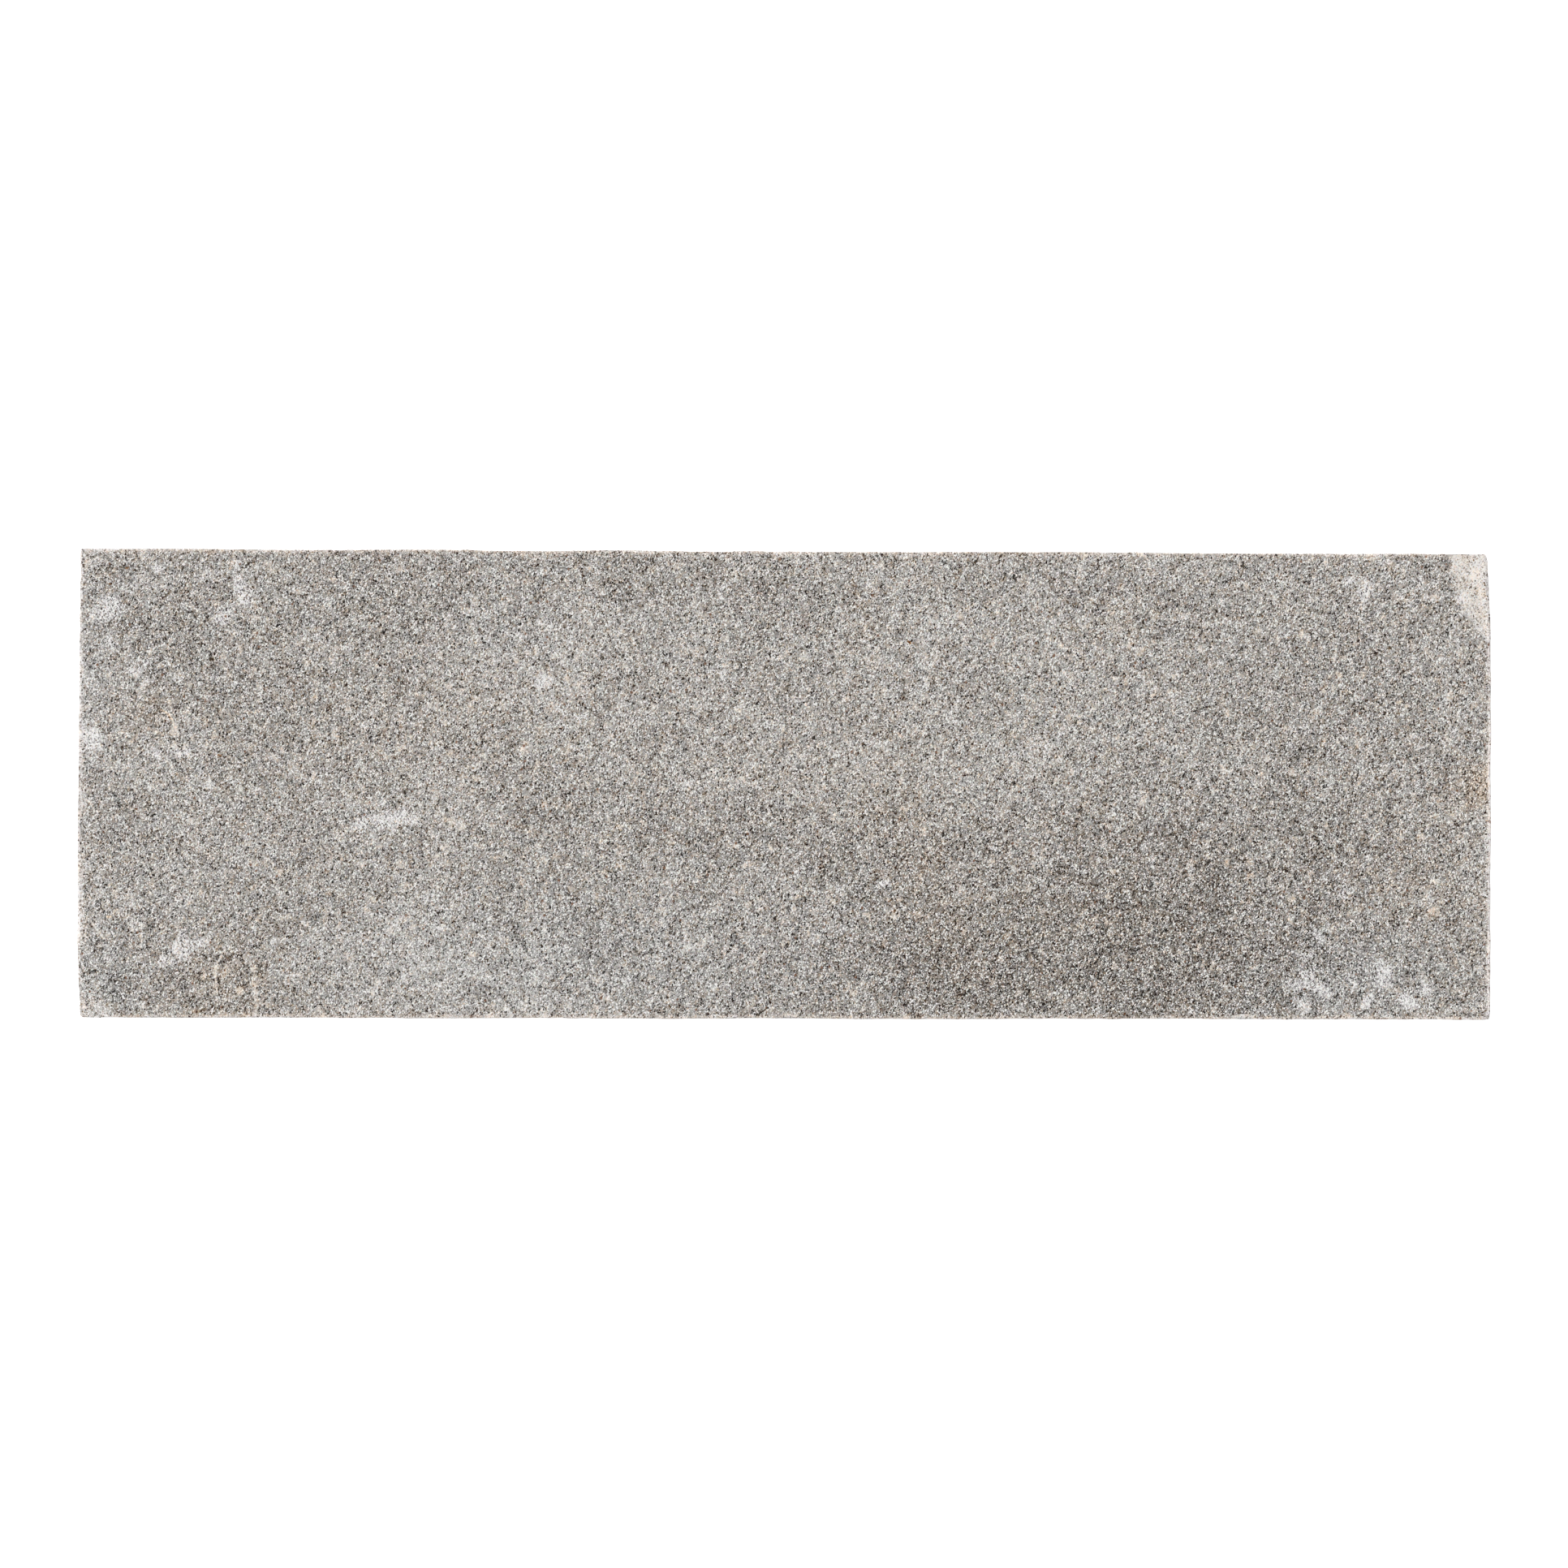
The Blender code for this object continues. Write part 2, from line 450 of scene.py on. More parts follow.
# Each mark: centre X, Y, half length, half width (mm), turn (degrees), strength
SCUFFS = (
    (-71.6, 18.8, 0.9, 1.0, 0, 1.0),
    (-73.0, 18.0, 0.5, 0.7, 0, 0.8),
    (-69.4, 20.8, 0.8, 0.5, 20, 0.6),
    (-71.5, 15.3, 0.5, 0.8, 0, 0.7),
    (-61.1, 22.2, 0.8, 0.5, 0, 0.55),
    (-58.0, 23.4, 0.6, 0.5, 0, 0.8),
    (-57.9, 21.4, 0.5, 0.7, 0, 1.0),
    (-57.2, 20.1, 0.6, 0.8, 20, 1.0),
    (-59.6, 17.7, 0.7, 0.6, 0, 0.8),
    (-73.5, 4.7, 0.9, 1.3, 0, 0.8),
    (-68.4, 12.4, 1.3, 0.6, 30, 0.6),
    (-66.6, 3.2, 1.2, 0.5, -10, 0.7),
    (-63.7, 3.4, 0.7, 0.5, 20, 0.7),
    (-61.0, -0.1, 0.6, 0.5, 0, 0.6),
    (-46.1, 14.5, 0.5, 0.4, 0, 0.7),
    (-41.4, -3.7, 1.4, 0.8, 20, 1.0),
    (-43.0, -3.7, 0.9, 0.4, 0, 0.85),
    (-44.8, -4.2, 1.0, 0.5, 20, 0.9),
    (-39.2, -3.9, 1.3, 0.5, 0, 0.55),
    (-42.8, -2.0, 0.6, 0.4, 40, 0.5),
    (-25.5, 10.8, 0.9, 0.8, 40, 0.7),
    (-10.2, 0.1, 0.5, 0.5, 0, 0.9),
    (-6.3, 11.9, 0.5, 0.4, 0, 0.6),
    (11.0, -10.5, 0.7, 0.6, 0, 0.6),
    (-63.8, -17.4, 0.8, 0.9, 30, 1.0),
    (-63.9, -16.0, 0.4, 1.0, 20, 0.7),
    (-62.2, -16.8, 0.8, 0.5, 0, 0.8),
    (-65.7, -18.8, 0.9, 0.5, 0, 0.7),
    (-68.5, -23.3, 0.8, 0.5, -20, 0.5),
    (-68.2, 21.6, 0.6, 0.4, 0, 0.7),
    (-66.5, 22.7, 0.5, 0.4, 0, 0.7),
    (-67.9, 10.5, 0.7, 0.4, 40, 0.6),
    (61.7, 20.5, 0.6, 0.8, -20, 1.0),
    (60.2, 21.5, 0.7, 0.4, 0, 0.7),
    (67.6, 21.4, 0.4, 0.9, 10, 0.7),
    (68.5, 19.6, 0.3, 0.3, 0, 1.0),
    (66.6, 18.9, 0.2, 0.7, 10, 0.7),
    (53.1, 15.8, 0.7, 0.3, 20, 0.7),
    (71.9, 19.4, 0.6, 0.5, 20, 0.8),
    (56.6, -16.0, 0.8, 0.3, -50, 1.0),
    (55.2, -18.2, 0.7, 0.6, 0, 0.7),
    (55.4, -20.4, 0.8, 0.6, 50, 0.8),
    (54.5, -21.3, 0.8, 0.5, 0, 0.8),
    (56.6, -21.4, 0.6, 0.6, 0, 0.9),
    (55.0, -23.4, 0.7, 0.8, 0, 0.8),
    (57.6, -22.4, 0.5, 0.6, 0, 0.8),
    (60.3, -21.3, 0.4, 0.3, 0, 0.8),
    (63.8, -20.4, 0.7, 0.9, 0, 1.0),
    (63.2, -19.2, 0.5, 0.6, 0, 0.7),
    (61.9, -23.1, 0.4, 0.8, -20, 0.9),
    (66.2, -23.1, 0.9, 0.5, -45, 0.9),
    (68.2, -21.7, 0.5, 0.7, 0, 0.7),
    (59.3, -11.7, 0.7, 0.5, 0, 0.6),
    (63.1, -14.2, 0.2, 0.3, 0, 0.9),
)
# Broad zones, with a strength in percent of full brightness: below 0 is darker, above 0 is paler
TONE_CLOUDS = (
    (33.0, -16.5, 17, 7, 8, -10.4),
    (46.0, -20.5, 9, 4, 0, -4.2),
    (-60.0, -15.0, 4, 4, 0, 2.0),
    (33.0, 2.5, 7, 5, 0, -2.0),
    (50.0, 3.5, 14, 5, 0, -1.6),
    (71.0, -10.0, 4, 12, 0, -1.5),
    (60.0, -19.5, 5, 5, 0, -2.6),
    (60.0, 11.0, 5, 5, 0, -2.4),
    (0.0, 16.0, 5, 7, 0, -1.8),
    (9.0, -7.0, 5, 4, 0, -2.0),
    (44.0, -22.5, 8, 3, 0, -3.0),
    (18.0, -21.0, 7, 4, 0, -5.5),
    (46.0, -9.0, 12, 5, 20, -2.8),
    (24.0, -5.5, 9, 4, -5, -4.6),
    (58.0, -6.0, 7, 7, 0, -2.2),
    (8.0, -11.0, 10, 4, -25, -2.8),
    (-3.0, -5.0, 6, 2.5, 0, -3.0),
    (-18.0, -4.5, 8, 2, -12, -3.0),
    (-55.6, 9.6, 5, 6, 0, -2.0),
    (65.0, 10.4, 4, 6, 0, -1.2),
    (-12.0, 21.5, 14, 3, 0, -1.5),
    (-36.0, 22.0, 9, 2.5, 0, -2.0),
    (-58.5, -20.5, 2.5, 3, 0, -3.0),
    (-68.0, -22.0, 3, 2.5, 0, -2.0),
    (44.0, 22.0, 10, 2.0, 0, 1.0),
    (-38.0, -18.5, 7, 6, 0, 6.5),
    (-15.0, -20.0, 12, 4, 5, 2.0),
    (-26.0, 12.0, 7, 4, 0, 3.5),
    (-20.0, 20.0, 5, 3, 0, 2.0),
    (-5.0, 6.5, 8, 5, -15, 1.8),
    (-17.0, 2.0, 6, 4, 0, 2.0),
    (22.0, 2.0, 9, 4, 0, 3.4),
    (10.0, 1.0, 8, 5, -10, 3.0),
    (16.0, 14.0, 9, 5, 0, 1.5),
    (-45.0, -5.0, 7, 4, 0, 2.7),
    (-33.0, -5.5, 6, 4, 0, 1.6),
    (-70.0, 10.0, 3, 9, 0, 2.0),
    (54.0, -23.0, 4, 4, 0, 1.0),
    (30.0, 9.0, 6, 5, 0, 2.0),
    (71.0, 12.0, 3, 7, 0, 1.5),
    (73.5, 21.2, 0.5, 2.3, 0, -4.0),
    # a small pale zone where the chip meets the honing face is a painted highlight
    (71.6, 18.4, 0.5, 1.0, -30, 5.0),
    (71.5, 22.8, 1.2, 1.2, 0, 3.0),
)
# Zones of warmer stone, with a strength in percent: below 0 is cooler
WARM_CLOUDS = (
    (73.6, 0.0, 1.6, 1.5, 40, 3.2),
    (72.0, -2.0, 2.5, 1.8, 40, 1.0),
    (-67.6, 7.4, 2.6, 2.0, 0, 1.3),
    (-60.0, -20.6, 3.6, 3.0, 0, 1.3),
    (14.5, -9.0, 2.4, 9, 20, 1.0),
    (30.0, -13.0, 10, 6, 0, 0.4),
    (35.4, 16.6, 1.5, 1.5, 0, 1.3),
    (8.4, 17.0, 1.2, 2.4, 0, 1.0),
    (66.0, -12.0, 6, 4, 0, 0.8),
    (-38.0, 6.0, 12, 5, 0, 0.5),
    (2.0, 1.4, 10, 5, 0, 0.3),
    (-24.0, -18.5, 16, 4.5, 0, -1.2),
    (-72.5, -20.5, 2.5, 3, 0, -1.2),
    (62.0, -20.0, 5, 3.5, 0, -1.4),
    (52.0, -23.0, 4, 1.5, 0, -0.6),
    (-73.5, 12.0, 1.5, 5, 0, -0.8),
    (-30.0, 17.5, 4, 3, 0, -0.6),
    (73.5, 21.2, 0.6, 2.5, 0, 0.5),
)
# Thin lines, each from X, Y to X, Y with a half width (mm), how far it is turned pale (above 0) or darkened
# (below 0) in percent, and how much warmer it is in percent
LINES = (
    # the step that a lost flake left near the front left corner, and the second ridge beside it: their pale
    # crests are painted highlight, and the dark bands beside the step are painted shadow
    (-59.4, -17.6, -60.3, -19.3, 0.15, 95, 1.2),
    (-60.3, -19.3, -60.35, -20.4, 0.16, 90, 1.2),
    (-60.35, -20.4, -60.1, -22.8, 0.13, 90, 1.2),
    (-59.3, -18.3, -58.9, -18.4, 0.42, -32, 0.5),
    (-59.8, -19.4, -60.0, -22.4, 0.14, -26, 0.5),
    (-56.8, -18.3, -56.3, -19.6, 0.40, 48, 1.0),
    (-56.3, -19.6, -56.0, -22.0, 0.34, 42, 1.0),
    (-56.0, -22.0, -56.1, -24.6, 0.26, 66, 1.0),
    (-54.2, -16.8, -53.9, -16.6, 0.34, 64, 1.0),
    (-62.8, -24.2, -61.4, -24.0, 0.20, -30, 3.0),
    # small flake edges, pale partly as painted highlight where light catches them; the dark line beside one
    # is its painted shadow
    (-73.5, -14.6, -72.2, -16.4, 0.15, 92, 1.0),
    (-74.1, -15.7, -74.1, -16.7, 0.14, 90, 1.0),
    (-72.8, -17.2, -71.6, -17.1, 0.13, 80, 0.5),
    (-69.2, -14.3, -69.2, -15.5, 0.14, 76, 1.0),
    (-68.2, -15.8, -68.2, -17.3, 0.15, 90, 1.0),
    (-66.0, 7.9, -64.9, 6.9, 0.12, 30, 4.5),
    (-64.9, 6.9, -64.6, 5.9, 0.13, 80, 2.0),
    (-63.7, 4.2, -63.1, 2.8, 0.14, 88, 1.5),
    (-67.5, 6.0, -65.9, 5.2, 0.13, 60, 2.0),
    (-74.1, 23.4, -72.9, 24.1, 0.14, 80, 1.0),
    (-72.9, 24.1, -71.8, 23.6, 0.14, 70, 1.0),
    (-50.5, 24.4, -49.5, 23.1, 0.15, 80, 0.5),
    (-50.1, 24.3, -49.2, 22.9, 0.14, -22, 0.0),
    (-54.9, 23.4, -54.6, 23.3, 0.42, 60, 1.0),
    (-51.8, 14.8, -51.5, 14.8, 0.34, 66, 1.5),
    (-42.1, -15.5, -40.6, -14.3, 0.15, 80, 1.0),
    (-74.7, -1.3, -73.8, -1.9, 0.16, 90, 1.0),
    (-73.8, -1.9, -73.1, -2.9, 0.14, 80, 1.0),
    (48.0, 5.4, 48.9, 3.4, 0.14, 66, 0.0),
    (43.3, 10.6, 43.0, 8.0, 0.15, 60, 0.0),
    (58.8, 11.7, 59.0, 11.5, 0.30, 80, 2.0),
    (53.6, -12.1, 54.0, -12.2, 0.42, 55, 1.5),
    (68.6, -13.9, 69.1, -13.8, 0.70, 45, 1.5),
    (57.8, -15.3, 58.3, -15.4, 0.36, 45, 1.5),
    (-60.5, 19.1, -60.1, 19.0, 0.40, 50, 1.5),
    (58.6, 14.6, 58.4, 12.8, 0.14, 70, 0.5),
    # scratches, and a crack in the front edge, painted dark as the shade inside it
    (67.0, 3.6, 68.4, 4.2, 0.11, 95, 0.5),
    (55.5, -4.2, 56.6, -3.4, 0.11, 95, 0.5),
    (-2.7, -24.5, -1.7, -23.7, 0.11, -70, 0.0),
    # dark and rusty grains that stand out
    (-60.85, 13.3, -60.75, 13.3, 0.22, -70, 1.0),
    (-57.65, 11.4, -57.55, 11.4, 0.20, -60, 1.0),
    (64.2, 14.5, 64.3, 14.5, 0.20, -60, 0.0),
    (13.2, 15.1, 13.4, 15.0, 0.17, -53, 12.0),
    (-71.6, 21.2, -71.4, 21.2, 0.14, -48, 10.0),
    (-69.8, 22.9, -69.6, 22.9, 0.14, -48, 10.0),
    (-71.8, -14.1, -71.6, -14.1, 0.16, 20, 7.0),
    (-60.0, 3.1, -59.8, 3.0, 0.15, -34, 10.0),
    (74.6, -3.9, 74.7, -3.9, 0.13, -19, 10.0),
)


def blots(points, marks, soft=1.0):
    """The strengths of soft-edged oval marks at each point, mark by mark."""
    cover = np.zeros((len(marks), len(points)))
    for number, (x, y, length, width, turn, strength) in enumerate(marks):
        away_x = points[:, 0] - x
        away_y = points[:, 1] - y
        c, s = cos(radians(turn)), sin(radians(turn))
        along = (away_x * c + away_y * s) / length
        across = (away_y * c - away_x * s) / width
        cover[number] = strength * np.exp(-(along**2 + across**2) * 0.7 / soft)
    return cover


# ---------------------------------------------------------------- the stone as an object

def rim_glow_masks(box, size, normals, points, broken):
    """How pale and how warm the stone is painted along its arrises: a painted glow of light wrapping round
    them.
    """
    fade = np.exp(-from_edges(box, size) / RIM_GLOW_WIDTH)
    at_ends = smooth(np.abs(box[:, 0] - size[0] / 2), size[0] / 2 - 4, size[0] / 2 - 1.5)
    near_top = np.exp(-(size[2] - box[:, 2]) / RIM_GLOW_HEIGHT)
    share = RIM_GLOW_SHARE + (RIM_GLOW_SHARE_AT_ENDS - RIM_GLOW_SHARE) * at_ends
    rim_glow = share * fade * (RIM_GLOW_SHARE_BELOW + (1 - RIM_GLOW_SHARE_BELOW) * near_top)

    # The steep upper part of each arris gets the most painted glow, painted over the shade that falls there
    steep = smooth(normals[:, 2], 0.02, 0.3) * (1 - smooth(normals[:, 2], 0.62, 0.85))
    upper = smooth(points[:, 2], 0.5 * size[2], 0.75 * size[2])
    rim_glow = np.maximum(rim_glow, upper * steep * (0.7 + 0.3 * at_ends))
    rim_glow *= (1 + 0.25 * near_right_end(box, size)) * (1 - 0.5 * broken)
    return rim_glow, (1 - 0.7 * at_ends) * fade


def build_stone():
    low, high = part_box(STONE)
    size = np.array(high - low) / MM
    xs = face_rows(size[0], FACE_STEP)
    ys = face_rows(size[1], FACE_STEP)
    zs = face_rows(size[2], SIDE_STEP)
    box, quads = box_skin(xs, ys, zs)
    points = round_arrises(box, size, arris_wear(box, size))
    points -= (size[0] / 2, size[1] / 2, 0)
    tree = cad_tree()
    points = fit_outline(points, tree, size)
    points, outside = fit_chips(points, tree, size)

    normals = vertex_normals(points, quads)
    chipped = np.where(outside > CHIPPED, outside, 0)
    arris = 1 - smooth(from_edges(box, size), 0.3, 0.9)
    points = roughen(points, normals, arris, chipped)

    mesh = bpy.data.meshes.new("whetstone")
    mesh.from_pydata([tuple(point) for point in points * MM], [], [tuple(quad) for quad in quads])
    mesh.shade_smooth()
    up = smooth(normals[:, 2], 0.5, 0.9)
    broken = smooth(chipped, 0.02, 0.40)
    pale_break = broken * np.where(points[:, 0] > 0, LARGE_CHIP_PALENESS, SMALL_CHIP_PALENESS)
    # The painted glow along the arrises, pale and warm, stands for light wrapping round them
    rim_glow, painted_rim_warmth = rim_glow_masks(box, size, normals, points, broken)
    masks = {
        "split_face": up * (1 - broken),
        "fresh_break": pale_break,
        "break_edge": pale_break * (1 - smooth(chipped, 0.25, 0.70)),
        "painted_rim_glow": rim_glow,
        "painted_rim_warmth": painted_rim_warmth,
        "scuffed": up * blots(points, SCUFFS, 1.7).max(axis=0),
        "tone_cloud": up * blots(points, TONE_CLOUDS, 1.4).sum(axis=0) / 100,
        "warm_cloud": up * blots(points, WARM_CLOUDS, 1.3).sum(axis=0) / 100,
    }
    for name, values in masks.items():
        attribute = mesh.attributes.new(name, "FLOAT", "POINT")
        attribute.data.foreach_set("value", values.astype(np.float32))
    stone = bpy.data.objects.new("whetstone", mesh)
    bpy.context.scene.collection.objects.link(stone)
    mesh.materials.append(sandstone())
    return stone


# ---------------------------------------------------------------- shader nodes

class Graph:
    """Adds shader nodes to a material and links them."""

    def __init__(self, tree):
        self.tree = tree

    def add(self, kind, sockets=None, **settings):
        node = self.tree.nodes.new(kind)
        for name, value in settings.items():
            setattr(node, name, value)
        for name, value in (sockets or {}).items():
            self.feed(node.inputs[name], value)
        return node

    def feed(self, socket, value):
        if isinstance(value, bpy.types.NodeSocket):
            self.tree.links.new(value, socket)
        else:
            socket.default_value = value

    def math(self, operation, *values, clamp=False):
        node = self.add("ShaderNodeMath", operation=operation, use_clamp=clamp)
        for socket, value in zip(node.inputs, values):
            self.feed(socket, value)
        return node.outputs[0]

    def times(self, first, second):
        return self.math("MULTIPLY", first, second)

    def less(self, first, second, clamp=False):
        """first - second"""
        return self.math("SUBTRACT", first, second, clamp=clamp)

    def total(self, *terms):
        result = terms[0]
        for term in terms[1:]:
            result = self.math("ADD", result, term)
        return result

    def spread(self, value, centre, gain):
        """(value - centre) * gain"""
        return self.times(self.less(value, centre), gain)

    def ramp(self, value, low, high, to_low=0.0, to_high=1.0):
        sockets = {"Value": value, "From Min": low, "From Max": high, "To Min": to_low, "To Max": to_high}
        return self.add("ShaderNodeMapRange", sockets, interpolation_type="SMOOTHSTEP").outputs[0]

    def vector(self, operation, first, second, output="Vector"):
        sockets = {0: first, 1: second}
        return self.add("ShaderNodeVectorMath", sockets, operation=operation).outputs[output]

    def scaled(self, place, scale):
        sockets = {"Vector": place, "Scale": scale}
        return self.add("ShaderNodeVectorMath", sockets, operation="SCALE").outputs["Vector"]

    def stretched(self, place, turn, scale):
        """Places whose patterns are stretched by scale along a line that is turned from X (degrees)."""
        sockets = {"Vector": place, "Rotation": (0, 0, radians(turn)), "Scale": (scale, 1, 1)}
        return self.add("ShaderNodeMapping", sockets, vector_type="TEXTURE").outputs[0]

    def wavering(self, place, per_mm, detail, reach):
        """Places that are moved to and fro by noise with this many bumps to the millimetre."""
        sockets = {"Vector": place, "Scale": per_mm, "Detail": detail}
        shift = self.add("ShaderNodeTexNoise", sockets).outputs["Color"]
        shift = self.vector("SUBTRACT", shift, (0.5, 0.5, 0.5))
        return self.vector("ADD", place, self.vector("MULTIPLY", shift, reach))

    def mask(self, name):
        return self.add("ShaderNodeAttribute", attribute_name=name, attribute_type="GEOMETRY").outputs["Fac"]

    def noise(self, place, size, detail=2.0, rough=0.5):
        sockets = {"Vector": place, "Scale": 1 / size, "Detail": detail, "Roughness": rough}
        return self.add("ShaderNodeTexNoise", sockets).outputs["Fac"]

    def cells(self, place, size):
        return self.add("ShaderNodeTexVoronoi", {"Vector": place, "Scale": 1 / size})

    def draws(self, cells):
        """Three random draws between 0 and 1 for each cell."""
        return self.add("ShaderNodeSeparateColor", {"Color": cells.outputs["Color"]}).outputs

    def line(self, place, x0, y0, x1, y1, half_width):
        """1 on the line from one point to the other, and 0 beyond its half width."""
        way = (x1 - x0, y1 - y0, 0)
        away = self.vector("SUBTRACT", place, (x0, y0, 0))
        along = self.vector("DOT_PRODUCT", away, way, "Value")
        share = self.math("DIVIDE", along, way[0] ** 2 + way[1] ** 2, clamp=True)
        distance = self.vector("DISTANCE", away, self.scaled(way, share), "Value")
        return self.ramp(distance, 0.4 * half_width, 1.2 * half_width, 1.0, 0.0)

    def bleach(self, tone, share, pale, contrast):
        """Where share is 1, stone of a middling tone turns pale, with only this much of its contrast left."""
        paler = self.total(pale, self.spread(tone, PALING_CENTRE, contrast))
        return self.math("ADD", tone, self.times(self.less(paler, tone), share))

    def colour(self, red, green, blue):
        return self.add("ShaderNodeCombineColor", {"Red": red, "Green": green, "Blue": blue}).outputs[0]

    def blend(self, share, first, second):
        sockets = {"Factor": share, 6: first, 7: second}
        return self.add("ShaderNodeMix", sockets, data_type="RGBA").outputs[2]


# ---------------------------------------------------------------- sandstone

class Pattern:
    """The sandstone's grain and marks, as sockets that its tone, its colour and its grit share."""

    def __init__(self, graph):
        here = graph.add("ShaderNodeTexCoord").outputs["Object"]
        self.level_place = graph.scaled(here, 1 / MM)
        self.place = graph.stretched(self.level_place, GRAIN_LEAN, GRAIN_STRETCH)
        self.ragged = graph.wavering(self.place, 3.4, 1.0, (0.06, 0.06, 0.06))
        self.fine = graph.draws(graph.cells(self.ragged, FINE_GRAIN))
        self.coarse = graph.draws(graph.cells(self.ragged, COARSE_GRAIN))
        self.speck = graph.draws(graph.cells(self.ragged, SPECK))
        self.clump = graph.noise(self.place, CLUMP, 3.0, 0.6)
        self.split = graph.mask("split_face")
        self.fresh = graph.mask("fresh_break")
        # The painted glow along the arrises, broken into patches
        patchy = graph.ramp(graph.noise(self.place, 0.5, 3.0, 0.7), 0.2, 0.55, 0.55, 1.0)
        self.rim_glow = graph.times(graph.mask("painted_rim_glow"), patchy)
        self.crumb, self.pit = crumbs_and_pits(graph, self.place)
        self.scuff, self.fleck = scuffs(graph, self)
        self.bleached, self.darkened, self.line_warmth = thin_lines(graph, self)


def crumbs_and_pits(graph, place):
    """Pale cream crumbs and darker pits, about a millimetre across."""
    cells = graph.cells(graph.wavering(place, 1.3, 3.0, (1.8, 1.8, 1.8)), CRUMB)
    draw = graph.draws(cells)[0]
    lump = graph.ramp(cells.outputs["Distance"], 0.16, 0.44, 1.0, 0.0)
    crumb = graph.times(lump, graph.ramp(draw, 0.58, 0.80))
    pit = graph.times(lump, graph.ramp(draw, 0.05, 0.40, 1.0, 0.0))
    return crumb, pit


def scuffs(graph, pattern):
    """Ragged patches of stone that is crushed, and the white flecks in them."""
    scuffed = graph.mask("scuffed")
    ragged = graph.total(scuffed, graph.spread(graph.noise(pattern.place, 0.8, 4.0, 0.7), 0.5, 1.3))
    scuff = graph.times(graph.ramp(ragged, 0.20, 0.65), graph.ramp(scuffed, 0.05, 0.35))
    strokes = graph.stretched(pattern.place, STROKE_TURN, STROKE_STRETCH)
    fleck = graph.total(pattern.fine[2], graph.spread(graph.noise(strokes, FLECK, 1.0, 0.5), 0.5, 3.0))
    return scuff, graph.times(scuff, graph.ramp(fleck, 0.38, 0.72))


def thin_lines(graph, pattern):
    """How far the thin lines pale, darken and warm the stone, some of them as painted highlight and shadow at
    ridges, flake edges and a crack. They waver a little, and fade in and out.
    """
    level = graph.vector("MULTIPLY", pattern.level_place, (1, 1, 0))
    wavering = graph.wavering(level, 1.4, 2.0, (0.5, 0.5, 0))
    fading = graph.times(graph.ramp(graph.noise(level, 0.7, 3.0, 0.7), 0.20, 0.36), pattern.split)
    bleached, darkened, warmth = [0.0], [0.0], [0.0]
    for *ends_and_width, tone_change, warmth_change in LINES:
        here = graph.times(graph.line(wavering, *ends_and_width), fading)
        lines = bleached if tone_change > 0 else darkened
        lines.append(graph.times(here, abs(tone_change) / 100))
        warmth.append(graph.times(here, warmth_change / 100))
    return graph.total(*bleached), graph.total(*darkened), graph.total(*warmth)


def odd_grains(graph, draw, clump, dark, pale):
    """Dark and pale grains among plain ones, with more dark ones where the clump noise is low. The pale ones
    are white quartz with painted glints.
    """
    lean = graph.total(draw, graph.spread(clump, 0.5, 0.2))
    return graph.less(
        graph.ramp(lean, 1 - PALE_SHARE, 1.0, 0.0, pale),
        graph.ramp(lean, 0.0, DARK_SHARE, dark, 0.0),
    )


def split_tone(graph, pattern):
    """The tone of the split face, from 0 black to 1 white: grain, odd grains, mottling and broad clouds."""
    grain = graph.total(
        graph.times(graph.math("POWER", graph.spread(pattern.fine[0], 0.5, 2.0), 3.0), FINE_CONTRAST),
        odd_grains(graph, pattern.coarse[0], pattern.clump, COARSE_DARKENING, COARSE_PALING),
        odd_grains(graph, pattern.speck[0], pattern.clump, SPECK_DARKENING, SPECK_PALING),
        graph.spread(pattern.clump, 0.5, CLUMP_CONTRAST),
        graph.times(pattern.pit, -PIT_DARKENING),
    )
    # Dark clouds have more contrast than pale ones
    tone_cloud = graph.mask("tone_cloud")
    contrast = graph.math("ADD", 0.97, graph.times(tone_cloud, -1.7))
    return graph.total(
        SPLIT_TONE,
        graph.times(grain, contrast),
        graph.spread(graph.noise(pattern.place, MOTTLE, 3.0, 0.5), 0.5, MOTTLE_CONTRAST),
        graph.spread(graph.noise(pattern.place, CLOUD, 2.0, 0.5), 0.5, CLOUD_CONTRAST),
        tone_cloud,
    )


def sawn_tone(graph, pattern, tone):
    """The tone of a sawn face: more even than the split one, darker than it as painted shade on the sides,
    and with the saw's faint arcs.
    """
    from_hub = graph.vector("DISTANCE", pattern.level_place, SAW_HUB, "Value")
    from_hub = graph.total(from_hub, graph.spread(graph.noise(pattern.place, 6.0, 3.0, 0.6), 0.5, 1.6))
    arc = graph.math("SINE", graph.times(from_hub, 2 * pi / SAW_PITCH))
    arc = graph.math("ADD", 0.5, graph.times(arc, 0.5))
    even = graph.spread(tone, TONE_CENTRE, 0.80)
    return graph.total(SHADED_SAWN_TONE, even, graph.spread(arc, 0.5, SAW_ARC_CONTRAST))


